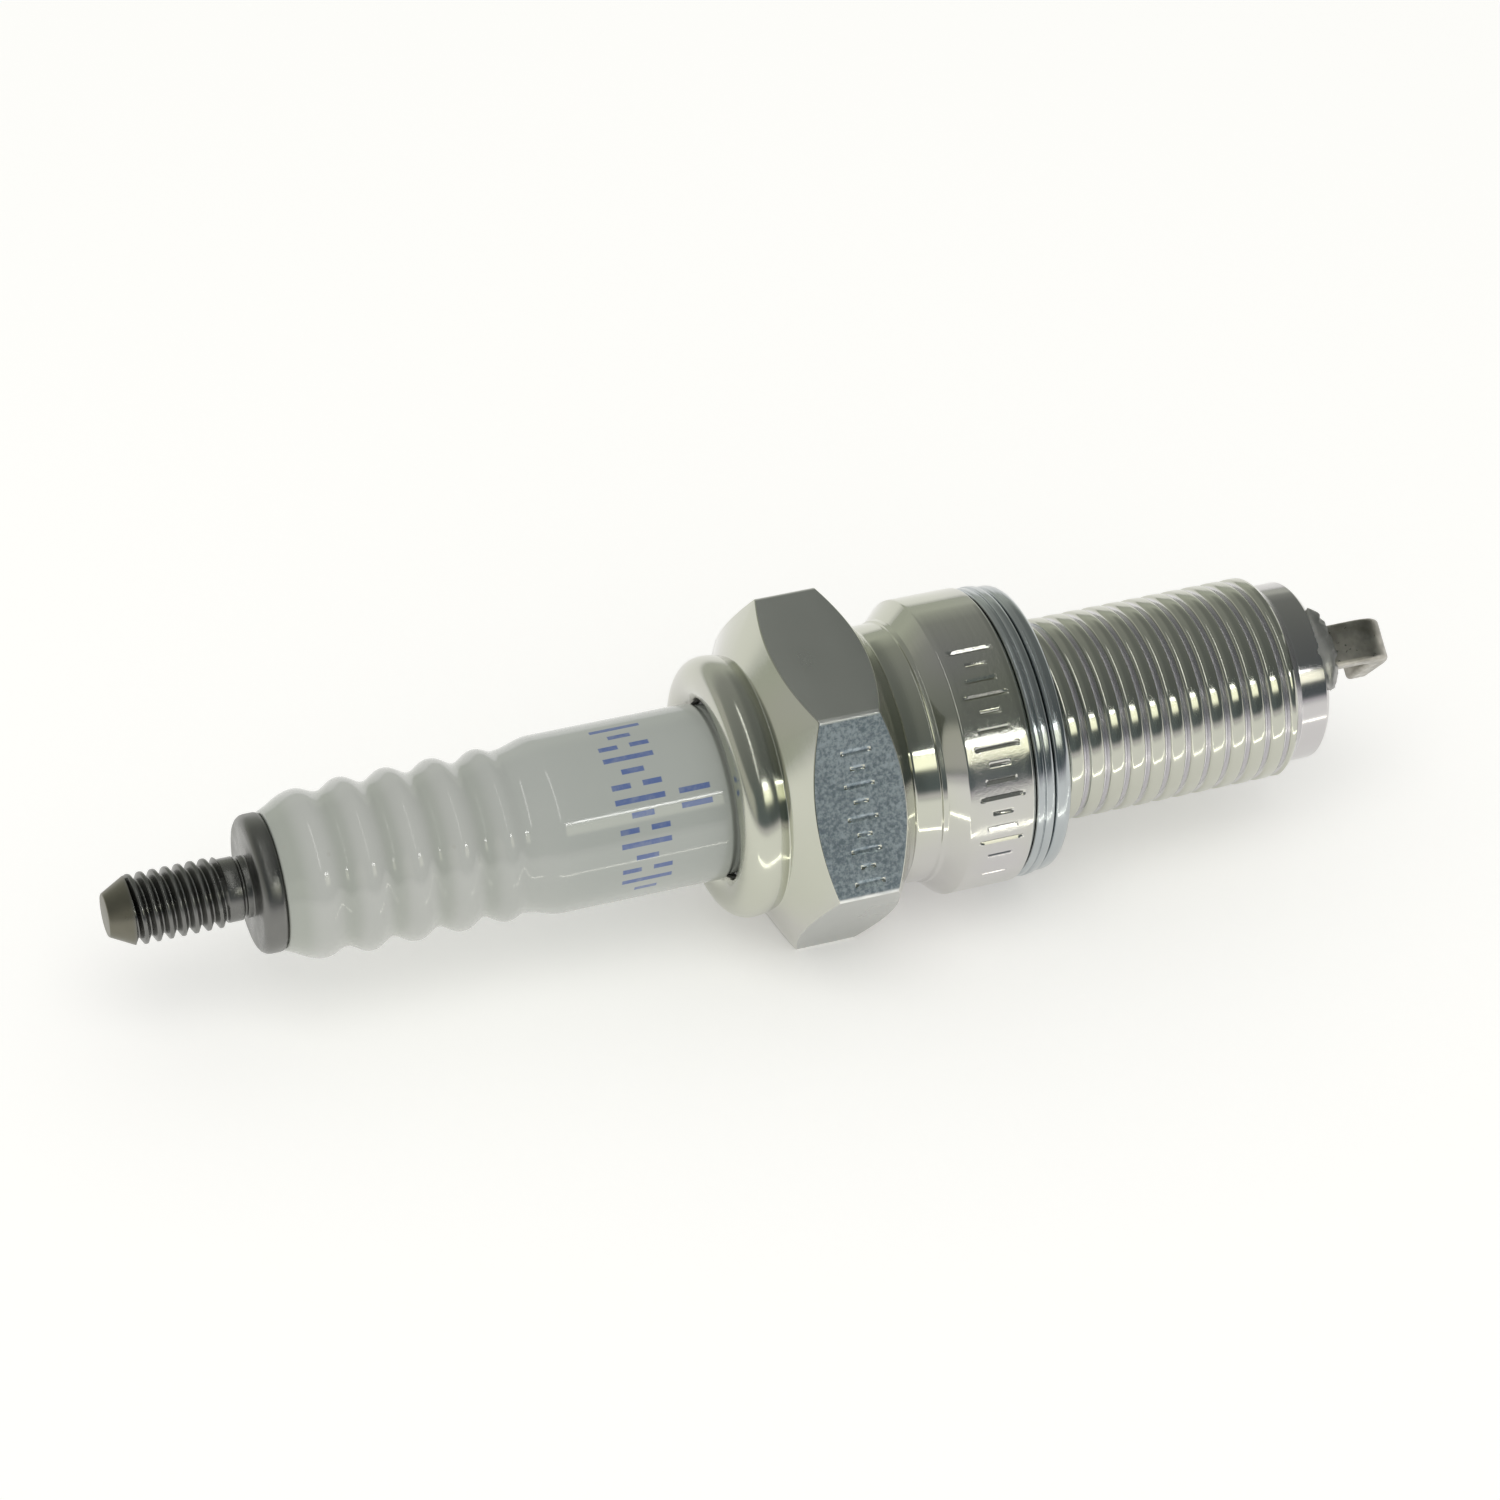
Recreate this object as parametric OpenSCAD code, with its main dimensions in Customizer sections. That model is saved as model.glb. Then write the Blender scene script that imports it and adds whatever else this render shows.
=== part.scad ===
// Spark plug, 12 mm thread, long reach, resistor type.
// The plug lies along X: the firing end points to +X and the terminal to -X.
// The origin is on the axis, at the gasket's sealing face. +Z is normal to one hex flat.
// All sizes are in millimetres.

/* [Cylinder head thread] */
// Crest diameter of the M12 thread
thread_d = 11.8; // [11.7:0.05:11.95]
// Thread pitch
thread_pitch = 1.25; // [1:0.25:1.25]
// Number of full grooves in the thread
thread_grooves = 11; // [9:1:12]
// From the gasket's sealing face to the end of the shell
shell_reach = 17.45; // [17:0.05:19.5]
// Diameter of the plain nose past the thread
nose_d = 10.44; // [10.4:0.02:10.6]

/* [Shell] */
// Hex size across its flats
hex_af = 18; // [17:0.5:19]
// Height of the hex's lower edge above the sealing face, at its flats
hex_low = 10.2; // [9.8:0.1:10.6]
// Height of the hex's upper edge above the sealing face, at its flats
hex_high = 15.5; // [15:0.1:15.8]
// Diameter of the round body between the hex and the gasket
body_d = 17.1; // [16.5:0.1:17.6]
// Height of the body's upper edge above the sealing face
body_high = 7.25; // [7:0.05:7.8]
// Diameter of the thin wall that is rolled over the insulator
crimp_d = 15; // [14.6:0.1:15.4]
// Height of the rolled lip above the sealing face
crimp_high = 19; // [18.6:0.1:19]
// Diameter of the opening in the rolled lip
lip_d = 10.7; // [10.6:0.05:10.9]

/* [Gasket] */
// Thickness of the folded gasket before it is crushed
gasket_t = 2.2; // [2.1:0.1:2.4]
// Outside diameter of the gasket's wider fold
gasket_d = 16.9; // [16.5:0.1:17]
// Neck of the shell that the gasket turns on
neck_d = 11.1; // [11:0.05:11.3]
// Radial running clearance between the neck and the gasket
neck_play = 0.07; // [0.03:0.01:0.1]

/* [Insulator] */
// Diameter of the glazed barrel
barrel_d = 10.1; // [9.9:0.05:10.2]
// Height of the insulator's top face above the sealing face
insulator_high = 44.1; // [43.9:0.1:44.5]
// Diameter of the top face
insulator_top_d = 7.9; // [7.8:0.1:8.2]
// Number of round ribs
rib_count = 5; // [3:1:5]
// Distance from rib to rib
rib_pitch = 2.61; // [2.5:0.01:2.62]
// Diameter over the ribs
rib_d = 9.76; // [9.5:0.02:9.9]
// Diameter in the valleys between the ribs
valley_d = 8.4; // [8.2:0.1:8.8]
// How far the insulator's nose stands out of the shell
nose_out = 1.35; // [1.1:0.05:1.9]

/* [Terminal stud] */
// Height of the stud's tip above the sealing face
stud_high = 53.4; // [53:0.1:54]
// Crest diameter of the M4 thread
stud_thread_d = 3.95; // [3.9:0.01:3.98]
// Thread pitch
stud_pitch = 0.7; // [0.7:0.05:0.75]
// Number of full grooves in the thread
stud_grooves = 8; // [5:1:8]
// Diameter of the round collar that sits on the insulator
collar_d = 7.8; // [7.2:0.1:7.9]
// Thickness of the collar
collar_t = 1.35; // [1.1:0.05:1.5]

/* [Electrodes] */
// Diameter of the centre electrode
electrode_d = 2.5; // [2.3:0.1:2.5]
// How far the centre electrode stands out of the shell
electrode_out = 2.45; // [2.2:0.05:2.7]
// Spark gap between the two electrodes
spark_gap = 0.9; // [0.7:0.05:1.1]
// Width of the ground electrode's flat bar
ground_w = 2.5; // [2.3:0.05:2.8]
// Thickness of the ground electrode's flat bar
ground_t = 1.35; // [1.2:0.05:1.4]
// Turn of the ground electrode about the axis, from +Z towards -Y, in degrees
ground_turn = 33; // [0:1:90]

/* [Hidden] */
// The one sub-part to draw, or "all"
$fn = 96;
eps = 0.01;
touch = 0.02;

// Turned threads: V grooves of 60 degrees with a flat at the crest and the root
crest_flat = 0.6;
root_d = 10.8;
stud_crest_flat = 0.22;
stud_root_flat = 0.1;

// Stations along X on the firing side
thread_start = 0.6;
thread_end = thread_start + thread_grooves * thread_pitch + crest_flat;
tip_x = shell_reach + electrode_out;
ground_end = tip_x + spark_gap + ground_t;

// Shell
shoulder_x = -gasket_t - 0.05;
crimp_round = 1.3;
crimp_r = crimp_d / 2;
hex_r = hex_af / 2 / cos(30);
shell_bore_r = 6.3;
lower_bore_r = 4.2;
end_bore_r = 4.1;
ledge_r = 3.35;
pocket_x = -crimp_high + 1.1;

// Insulator, with the seat cone that the washer sits on
insulator_r = 6.2;
hidden_r = barrel_d / 2 - 0.2;
lower_r = 4.05;
seat_x = 4.6;
seat_slope = 0.6;
washer_t = 0.38;
stud_bore_r = 1.75;
electrode_bore_r = electrode_d / 2 + 0.05;
bore_step_x = -2;
insulator_shoulder_x = -12.2;
nose_x = shell_reach + nose_out;
rib_x = -insulator_high + 2.1;

// Conductors in the insulator's bore
stud_x = -stud_high;
stud_thread_x = stud_x + 0.8;
stud_thread_end = stud_thread_x + stud_grooves * stud_pitch + stud_crest_flat;
collar_x = -insulator_high - collar_t;
shank_end_x = -21;
upper_glass_x = -24.4;
resistor_x = -18;
lower_glass_x = -9;
electrode_head_x = -4.8;

// Packing between the shell and the insulator
ring_r = 0.7;
ring_mid_r = (hidden_r + shell_bore_r) / 2;
upper_ring_x = pocket_x + ring_r + touch;
lower_ring_x = insulator_shoulder_x - ring_r - touch;

// Ground electrode
ground_outer_r = 4.85;
ground_bend = 0.9;
ground_past_axis = 0.5;
weld_sweep = 50;

steel = [0.78, 0.79, 0.80];
dark_steel = [0.45, 0.46, 0.45];
zinc = [0.72, 0.74, 0.77];
nickel = [0.55, 0.54, 0.52];
ceramic = [0.92, 0.92, 0.90];
copper = [0.78, 0.45, 0.30];
seal_glass = [0.24, 0.26, 0.25];
carbon = [0.12, 0.12, 0.12];
talc = [0.85, 0.84, 0.80];

// A section drawn as [radius, X] is turned about the X axis.
module turned() {
  rotate([0, 90, 0])
    rotate_extrude()
      children();
}

// One V groove of a thread, as a section
module groove(x, crest_r, root_r, mouth, root_flat) {
  polygon([
    [root_r, x - root_flat / 2],
    [crest_r + eps, x - mouth / 2 - eps * tan(30)],
    [crest_r + eps, x + mouth / 2 + eps * tan(30)],
    [root_r, x + root_flat / 2]
  ]);
}

// A row of grooves, starting after the first crest
module grooves(x, count, pitch, crest_r, root_r, crest, root_flat) {
  for (i = [0 : count - 1]) {
    groove(x + crest + (pitch - crest) / 2 + i * pitch, crest_r, root_r,
           pitch - crest, root_flat);
  }
}

// A smooth half wave from one [radius, X] point to the next, without its last point
function half_wave(r0, x0, r1, x1) = [
  for (k = [0 : 7]) [r0 + (r1 - r0) * (1 - cos(22.5 * k)) / 2, x0 + (x1 - x0) * k / 8]
];

// A quarter wave: steep at first, level at its end
function quarter_wave(r0, x0, r1, x1) = [
  for (k = [0 : 5]) [r0 + (r1 - r0) * sin(15 * k), x0 + (x1 - x0) * k / 6]
];

// ---- Terminal stud ----

module stud_section() {
  crest_r = stud_thread_d / 2;
  depth = (stud_pitch - stud_crest_flat - stud_root_flat) / 2 / tan(30);
  difference() {
    polygon([
      [0, stud_x],
      [1.24, stud_x],
      [crest_r, stud_thread_x],
      [crest_r, stud_thread_end],
      [1.785, stud_thread_end + 0.2],
      [1.785, collar_x - 0.62],
      [1.6, collar_x - 0.55],
      [1.6, collar_x - 0.42],
      [1.72, collar_x - 0.36],
      [1.72, collar_x],
      [collar_d / 2 - 0.3, collar_x],
      [collar_d / 2, collar_x + 0.3],
      [collar_d / 2, collar_x + collar_t - 0.15],
      [collar_d / 2 - 0.15, collar_x + collar_t],
      [1.7, collar_x + collar_t],
      [1.7, upper_glass_x],
      [1.4, upper_glass_x],
      [1.4, shank_end_x - 0.3],
      [1.1, shank_end_x],
      [0, shank_end_x]
    ]);
    grooves(stud_thread_x, stud_grooves, stud_pitch, crest_r, crest_r - depth,
            stud_crest_flat, stud_root_flat);
    // Grip grooves that the glass seal holds on to
    for (i = [0 : 3]) {
      groove(upper_glass_x + 0.6 + 0.7 * i, 1.4, 1.15, 0.45, 0.15);
    }
  }
}

module terminal_stud() {
  color(dark_steel)
    turned()
      stud_section();
}

// ---- Insulator ----

function rib_points() = [
  for (i = [0 : rib_count - 2])
    for (p = concat(
      half_wave(i == 0 ? rib_d / 2 - 0.14 : rib_d / 2, rib_x + i * rib_pitch,
                valley_d / 2, rib_x + (i + 0.5) * rib_pitch),
      half_wave(valley_d / 2, rib_x + (i + 0.5) * rib_pitch,
                rib_d / 2, rib_x + (i + 1) * rib_pitch)))
      p
];

module insulator_section() {
  last_rib_x = rib_x + (rib_count - 1) * rib_pitch;
  barrel_r = barrel_d / 2;
  polygon(concat(
    [[stud_bore_r, -insulator_high]],
    quarter_wave(insulator_top_d / 2, -insulator_high, rib_d / 2 - 0.14, rib_x),
    rib_points(),
    half_wave(rib_d / 2, last_rib_x, 4.6, last_rib_x + 0.9),
    half_wave(4.6, last_rib_x + 0.9, barrel_r, last_rib_x + 3.2),
    [
      [barrel_r, last_rib_x + 3.2],
      [barrel_r, -crimp_high - 0.05],
      [hidden_r, -crimp_high + 0.25],
      [hidden_r, insulator_shoulder_x],
      [insulator_r - 0.2, insulator_shoulder_x],
      [insulator_r, insulator_shoulder_x + 0.2],
      [insulator_r, -5.7],
      [lower_r, -4.15],
      [lower_r, seat_x],
      [3.05, seat_x + (lower_r - 3.05) * seat_slope],
      [2.95, seat_x + 2.9],
      [2.35, nose_x - 0.7],
      [2.2, nose_x - 0.2],
      [2.0, nose_x],
      [electrode_bore_r, nose_x],
      [electrode_bore_r, bore_step_x],
      [stud_bore_r, bore_step_x]
    ]
  ));
}

module insulator() {
  color(ceramic)
    turned()
      insulator_section();
}

// ---- Conductors inside the insulator ----

// Glass that fills the bore and holds the end of the terminal stud
module upper_glass_seal() {
  color(seal_glass)
    turned()
      difference() {
        translate([0, upper_glass_x])
          square([stud_bore_r, resistor_x - upper_glass_x]);
        stud_section();
      }
}

module resistor() {
  color(carbon)
    turned()
      translate([0, resistor_x])
        square([stud_bore_r, lower_glass_x - resistor_x]);
}

// Glass that fills the bore and holds the head of the centre electrode
module lower_glass_seal() {
  color(seal_glass)
    turned()
      difference() {
        translate([0, lower_glass_x])
          square([stud_bore_r, bore_step_x - 0.8 - lower_glass_x]);
        centre_electrode_outline();
      }
}

module centre_electrode_outline() {
  r = electrode_d / 2;
  polygon([
    [0, electrode_head_x],
    [1.0, electrode_head_x],
    [1.2, electrode_head_x + 0.2],
    [1.2, bore_step_x - 0.8],
    [1.65, bore_step_x - 0.8],
    [1.65, bore_step_x],
    [r, bore_step_x],
    [r, tip_x - 0.1],
    [r - 0.1, tip_x],
    [0, tip_x]
  ]);
}

module copper_outline() {
  polygon([
    [0, electrode_head_x],
    [0.65, electrode_head_x],
    [0.65, tip_x - 4.5],
    [0, tip_x - 3.6]
  ]);
}

module centre_electrode() {
  color(nickel)
    turned()
      difference() {
        centre_electrode_outline();
        copper_outline();
      }
}

module electrode_copper_core() {
  color(copper)
    turned()
      copper_outline();
}

// ---- Shell ----

// Everything turned on the shell except the hex
module shell_outline() {
  r = body_d / 2;
  end_chamfer = (thread_d - nose_d) / 2;
  translate([crimp_r - crimp_round, -crimp_high + crimp_round])
    circle(r = crimp_round);
  difference() {
    polygon([
      [0, -crimp_high + crimp_round],
      [crimp_r, -crimp_high + crimp_round],
      [crimp_r, -body_high],
      [r - 0.95, -body_high],
      [r, -body_high + 1],
      [r, shoulder_x - 0.25],
      [r - 0.25, shoulder_x],
      [neck_d / 2, shoulder_x],
      [neck_d / 2, thread_start - 0.15],
      [thread_d / 2, thread_start],
      [thread_d / 2, thread_end],
      [nose_d / 2, thread_end + end_chamfer],
      [nose_d / 2, shell_reach - 0.25],
      [nose_d / 2 - 0.25, shell_reach],
      [0, shell_reach]
    ]);
    grooves(thread_start, thread_grooves, thread_pitch, thread_d / 2, root_d / 2,
            crest_flat, 0.08);
  }
}

// The hollow inside the shell, from the rolled lip to the open end
module shell_hollow() {
  ledge_x = seat_x + washer_t + touch + (lower_r - lower_bore_r) * seat_slope;
  polygon([
    [0, -crimp_high - 1],
    [lip_d / 2, -crimp_high - 1],
    [lip_d / 2, pocket_x],
    [shell_bore_r, pocket_x],
    [shell_bore_r, -5.4],
    [lower_bore_r, -3.9],
    [lower_bore_r, ledge_x],
    [ledge_r, ledge_x + (lower_bore_r - ledge_r) * seat_slope],
    [ledge_r, seat_x + 2.9],
    [end_bore_r, seat_x + 4],
    [end_bore_r, shell_reach + 1],
    [0, shell_reach + 1]
  ]);
}

// The hex's corners are turned off at 30 degrees above and 35 degrees below.
module hex() {
  intersection() {
    rotate([0, 90, 0])
      rotate([0, 0, 30])
        translate([0, 0, -hex_high - 1])
          cylinder(h = hex_high - hex_low + 3, r = hex_r, $fn = 6);
    turned()
      polygon([
        [0, -hex_high - (hex_af / 2 - crimp_r) * tan(30)],
        [crimp_r, -hex_high - (hex_af / 2 - crimp_r) * tan(30)],
        [hex_r + 0.4, -hex_high + (hex_r + 0.4 - hex_af / 2) * tan(30)],
        [hex_r + 0.4, -hex_low - (hex_r + 0.4 - hex_af / 2) * tan(35)],
        [crimp_r - 0.05, -hex_low + (hex_af / 2 - crimp_r + 0.05) * tan(35)],
        [0, -hex_low + (hex_af / 2 - crimp_r + 0.05) * tan(35)]
      ]);
  }
}

module shell() {
  color(steel)
    difference() {
      union() {
        turned()
          shell_outline();
        hex();
      }
      turned()
        shell_hollow();
    }
}

// ---- Packing inside the shell ----

module packing_ring(x) {
  color(dark_steel)
    turned()
      translate([ring_mid_r, x])
        circle(r = ring_r);
}

module upper_packing_ring() {
  packing_ring(upper_ring_x);
}

module lower_packing_ring() {
  packing_ring(lower_ring_x);
}

module talc_seal() {
  low = upper_ring_x + ring_r + touch;
  high = lower_ring_x - ring_r - touch;
  color(talc)
    turned()
      translate([hidden_r + touch, low])
        square([shell_bore_r - hidden_r - touch, high - low]);
}

// A thin cone between the insulator's seat and the shell's ledge
module seat_washer() {
  inner = ledge_r + 0.05;
  outer = lower_r - 0.05;
  color(dark_steel)
    turned()
      polygon([
        [inner, seat_x + (lower_r - inner) * seat_slope],
        [outer, seat_x + (lower_r - outer) * seat_slope],
        [outer, seat_x + (lower_r - outer) * seat_slope + washer_t],
        [inner, seat_x + (lower_r - inner) * seat_slope + washer_t]
      ]);
}

// ---- Gasket ----

// Folded sheet: a wide fold against the shell, a narrow one against the cylinder head
module gasket() {
  wide = gasket_t - 1;
  fold_r = gasket_d / 2 - wide / 2;
  inner_r = neck_d / 2 + neck_play;
  color(zinc)
    turned()
      difference() {
        union() {
          translate([fold_r, -gasket_t + wide / 2])
            circle(r = wide / 2);
          translate([inner_r, -gasket_t])
            square([fold_r - inner_r, wide]);
          translate([fold_r, -0.5])
            circle(r = 0.5);
          translate([6.5, -0.5])
            circle(r = 0.5);
          translate([6.5, -1])
            square([fold_r - 6.5, 1]);
        }
        // The gap inside the fold
        translate([inner_r - 1, -1.16])
          square([7.3 - inner_r + 1, 0.16]);
      }
}

// ---- Ground electrode ----

// A flat bar that stands on the shell's end and bends over the centre electrode
module ground_bar() {
  bend_r = ground_bend + ground_t;
  bend_x = ground_end - bend_r;
  inner_r = ground_outer_r - ground_t;
  rotate([ground_turn, 0, 0]) {
    translate([shell_reach, -ground_w / 2, inner_r])
      cube([bend_x - shell_reach, ground_w, ground_t]);
    translate([bend_x, 0, inner_r - ground_bend])
      rotate([90, 0, 0])
        translate([0, 0, -ground_w / 2])
          rotate_extrude(angle = 90)
            translate([ground_bend, 0])
              square([ground_t, ground_w]);
    translate([ground_end - ground_t, -ground_w / 2, -ground_past_axis])
      cube([ground_t, ground_w, inner_r - ground_bend + ground_past_axis]);
  }
}

module ground_electrode() {
  color(nickel)
    ground_bar();
}

// The weld's bead wraps the foot of the bar and follows the shell's end face.
module ground_weld() {
  color(nickel)
    difference() {
      rotate([ground_turn, 0, 0])
        rotate([0, 90, 0])
          rotate([0, 0, 180 - weld_sweep / 2])
            rotate_extrude(angle = weld_sweep)
              polygon([
                [end_bore_r + 0.05, shell_reach],
                [nose_d / 2 - 0.05, shell_reach],
                [nose_d / 2 - 0.02, shell_reach + 0.4],
                [nose_d / 2 - 0.15, shell_reach + 0.9],
                [end_bore_r + 0.2, shell_reach + 0.9],
                [end_bore_r + 0.05, shell_reach + 0.6]
              ]);
      ground_bar();
    }
}

terminal_stud();
insulator();
upper_glass_seal();
resistor();
lower_glass_seal();
centre_electrode();
electrode_copper_core();
shell();
upper_packing_ring();
talc_seal();
lower_packing_ring();
seat_washer();
gasket();
ground_electrode();
ground_weld();
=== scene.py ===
"""The looks of a spark plug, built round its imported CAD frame.

The plug lies along X with its firing end at +X. Lengths in this file are millimetres until a
mesh is made, and angles are degrees about the axis, from +Z towards -Y.
"""

import math

import bmesh
import bpy
import numpy as np
from mathutils import Matrix, Vector, noise


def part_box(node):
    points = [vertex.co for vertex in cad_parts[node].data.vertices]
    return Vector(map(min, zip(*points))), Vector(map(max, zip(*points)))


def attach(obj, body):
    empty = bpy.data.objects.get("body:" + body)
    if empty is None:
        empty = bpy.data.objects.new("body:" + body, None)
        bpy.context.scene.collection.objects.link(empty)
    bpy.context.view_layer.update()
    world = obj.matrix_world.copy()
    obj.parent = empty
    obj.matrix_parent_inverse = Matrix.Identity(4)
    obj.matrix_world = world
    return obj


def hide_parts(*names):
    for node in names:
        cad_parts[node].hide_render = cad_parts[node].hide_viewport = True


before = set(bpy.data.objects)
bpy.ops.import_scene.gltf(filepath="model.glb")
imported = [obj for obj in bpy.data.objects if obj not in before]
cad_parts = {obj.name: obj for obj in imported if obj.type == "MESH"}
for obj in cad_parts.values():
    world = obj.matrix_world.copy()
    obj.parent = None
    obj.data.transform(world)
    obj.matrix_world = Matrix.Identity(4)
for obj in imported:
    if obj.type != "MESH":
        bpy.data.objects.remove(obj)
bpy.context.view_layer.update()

MM = 0.001


def span(node):
    """A CAD node's lowest and highest corner, in millimetres."""
    low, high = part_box(node)
    return low / MM, high / MM


# ---------------------------------------------------------------- stations from the frame

SHELL_LOW, SHELL_HIGH = span("shell")
INSULATOR_LOW, INSULATOR_HIGH = span("insulator")
STUD_LOW, STUD_HIGH = span("terminal_stud")
GASKET_LOW, GASKET_HIGH = span("gasket")
GROUND_LOW, GROUND_HIGH = span("ground_electrode")

LIP_X = SHELL_LOW.x
SHELL_END_X = SHELL_HIGH.x
HEX_APOTHEM = SHELL_HIGH.z
GASKET_R = GASKET_HIGH.z
SHOULDER_X = GASKET_LOW.x - 0.05

# Cylinder head thread
THREAD_PITCH = 1.25
THREAD_R = 5.9
NECK_R = 5.55
THREAD_START_X = 0.45
THREAD_END_X = SHELL_END_X - 1.82
NOSE_R = 5.22

# Shell
CRIMP_R = 7.5
CRIMP_ROUND = 1.3
LIP_R = 5.1
CRIMP_BACK = 3.0
CREVICE_R = 7.25
HEX_HIGH_X = -15.5
HEX_LOW_X = -10.2
HEX_CORNER = 0.22
HUB_R = 7.47
BODY_R = 8.55
BODY_HIGH_X = -7.25

# Places round the axis
STAMPED_FLAT = 60.0
GROUND_TURN = 33.0

ARC_STEPS = 4


# ---------------------------------------------------------------- outlines


def rounded(corners, closed=False):
    """Corners are (x, r, fillet). Each fillet becomes an arc of ARC_STEPS pieces."""
    out = []
    count = len(corners)
    for i, (x, r, fillet) in enumerate(corners):
        here = Vector((x, r))
        ends = not closed and i in (0, count - 1)
        if fillet == 0 or ends:
            out.append(here)
            continue
        before = Vector(corners[i - 1][:2]) - here
        after = Vector(corners[(i + 1) % count][:2]) - here
        u, v = before.normalized(), after.normalized()
        half = u.angle(v) / 2
        reach = min(fillet / math.tan(half), 0.45 * before.length, 0.45 * after.length)
        middle = u + v
        if middle.length < 1e-4:
            out += [here + u * reach * (1 - 2 * k / ARC_STEPS) for k in range(ARC_STEPS + 1)]
            continue
        centre = here + middle.normalized() * reach / math.cos(half)
        first, last = here + u * reach - centre, here + v * reach - centre
        for k in range(ARC_STEPS + 1):
            out.append(centre + first.slerp(last, k / ARC_STEPS, first) * first.length)
    return out


def arc(cx, cr, radius, start, end, steps):
    """Points on a circle; an angle of 0 points to -X and 90 away from the axis."""
    angles = np.radians(np.linspace(start, end, steps + 1))
    return [Vector((cx - radius * math.cos(a), cr + radius * math.sin(a))) for a in angles]


def wave(x0, r0, x1, r1, steps=10, sharper=1.0):
    """Half a cosine wave from one point to the next, without the last point.

    A sharper value above 1 makes the crest broader and the valley narrower.
    """
    low, high = min(r0, r1), max(r0, r1)
    out = []
    for t in (k / steps for k in range(steps)):
        down = (1 - math.cos(math.pi * t)) / 2
        if r1 > r0:
            down = 1 - down
        out.append(Vector((x0 + (x1 - x0) * t, high - (high - low) * down**sharper)))
    return out


# ---------------------------------------------------------------- meshes


MERGE_DISTANCE = 0.0004 * MM


def finish_mesh(name, bm, body, node, material, sharp=35):
    bmesh.ops.remove_doubles(bm, verts=bm.verts, dist=MERGE_DISTANCE)
    bmesh.ops.dissolve_degenerate(bm, dist=MERGE_DISTANCE / 2, edges=bm.edges)
    bmesh.ops.recalc_face_normals(bm, faces=bm.faces)
    mesh = bpy.data.meshes.new(name)
    bm.to_mesh(mesh)
    bm.free()
    mesh.shade_smooth()
    mesh.set_sharp_from_angle(angle=math.radians(sharp))
    piece = bpy.data.objects.new(name, mesh)
    bpy.context.scene.collection.objects.link(piece)
    normals = piece.modifiers.new("normals", "WEIGHTED_NORMAL")
    normals.keep_sharp = True
    normals.weight = 80
    mesh.materials.append(material)
    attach(piece, body)
    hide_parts(node)
    return piece


def grid_mesh(points, close_rows=True):
    """A bmesh from points[row][column]. The last row joins the first unless told otherwise.

    The columns don't join: the last has to repeat the first.
    """
    bm = bmesh.new()
    rows, columns = points.shape[:2]
    verts = [[bm.verts.new(points[i, j] * MM) for j in range(columns)] for i in range(rows)]
    for i in range(rows if close_rows else rows - 1):
        upper, lower = verts[i], verts[(i + 1) % rows]
        for j in range(columns - 1):
            bm.faces.new((upper[j], upper[j + 1], lower[j + 1], lower[j]))
    return bm


def tube_mesh(rings):
    """A closed tube through rings of points, with both ends filled."""
    bm = grid_mesh(np.array([ring + ring[:1] for ring in rings]), close_rows=False)
    bmesh.ops.remove_doubles(bm, verts=bm.verts, dist=MERGE_DISTANCE)
    bmesh.ops.holes_fill(bm, edges=[e for e in bm.edges if e.is_boundary], sides=0)
    return bm


def turned_points(outline_at, angles):
    """The outline at each angle, turned about X. The first and last columns meet."""
    columns = []
    for a in angles:
        outline = np.array(outline_at(a))
        t = math.radians(a)
        columns.append(
            np.stack([outline[:, 0], -outline[:, 1] * math.sin(t), outline[:, 1] * math.cos(t)], 1)
        )
    return np.stack(columns, 1)


def round_angles(count):
    return np.linspace(0, 360, count + 1)


# ---------------------------------------------------------------- threads


def thread_rows(
    angle, start, end, pitch, profile, radius_at_start, radius_at_end, lead_in, lead_out
):
    """One column of a right-hand thread: the same rows at each angle, moved along the helix.

    profile is a list of (distance along the pitch, radius). Rows that leave the thread's span
    gather at its ends, where remove_doubles joins them.
    """
    out = []
    turns = math.ceil((end - start) / pitch) + 1
    for k in range(turns):
        for along, radius in profile:
            x = start + (k - 1) * pitch + along + pitch * angle / 360
            if x <= start:
                out.append(Vector((start, radius_at_start)))
            elif x >= end:
                out.append(Vector((end, radius_at_end)))
            else:
                limit = min(
                    radius_at_start + (x - start) * lead_in,
                    radius_at_end + (end - x) * lead_out,
                )
                out.append(Vector((x, min(radius, max(limit, 0.1)))))
    return out


def thread_profile(pitch, crest_r, crest_w, crown, depth, root_w):
    """Crest with a slight crown, straight flanks and a small flat root."""
    half_crest, half_root = crest_w / 2, root_w / 2
    half = pitch / 2
    edge = 0.12 * crest_w
    points = [
        (-half, crest_r - depth),
        (-half + half_root, crest_r - depth + 0.01),
        (-half_crest - edge * 0.55, crest_r - crown - edge),
        (-half_crest, crest_r - crown - edge * 0.25),
        (-half_crest * 0.75, crest_r - crown * 0.5),
        (-half_crest * 0.35, crest_r - crown * 0.1),
    ]
    mirrored = [(-a, r) for a, r in reversed(points[1:])]
    return [(a + half, r) for a, r in points + [(0, crest_r)] + mirrored]


# ---------------------------------------------------------------- stamped and rolled marks

# Each mark is (x from, x to, angle, depth): a V groove along X. The shell's columns are narrow
# and equally wide, because wider or uneven ones shade the chamfer in facets near its corners.
# The marks' middles and edges lie on them.

COLUMN_ANGLE = 0.5
MARK_HALF_ANGLE = 2 * COLUMN_ANGLE


def rolled_marks():
    """Plain ticks, long and short by turns like a scale, pressed into the shell's round body."""
    marks = []
    for i in range(13):
        half = (1.25, 0.55, 0.85)[i % 3]
        marks.append((-4.35 - half, -4.35 + half, 10 + 6.5 * i, 0.11))
    for middle in (96.0, 109.0):
        marks.append((-5.0, -3.6, middle, 0.1))
    return marks


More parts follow.
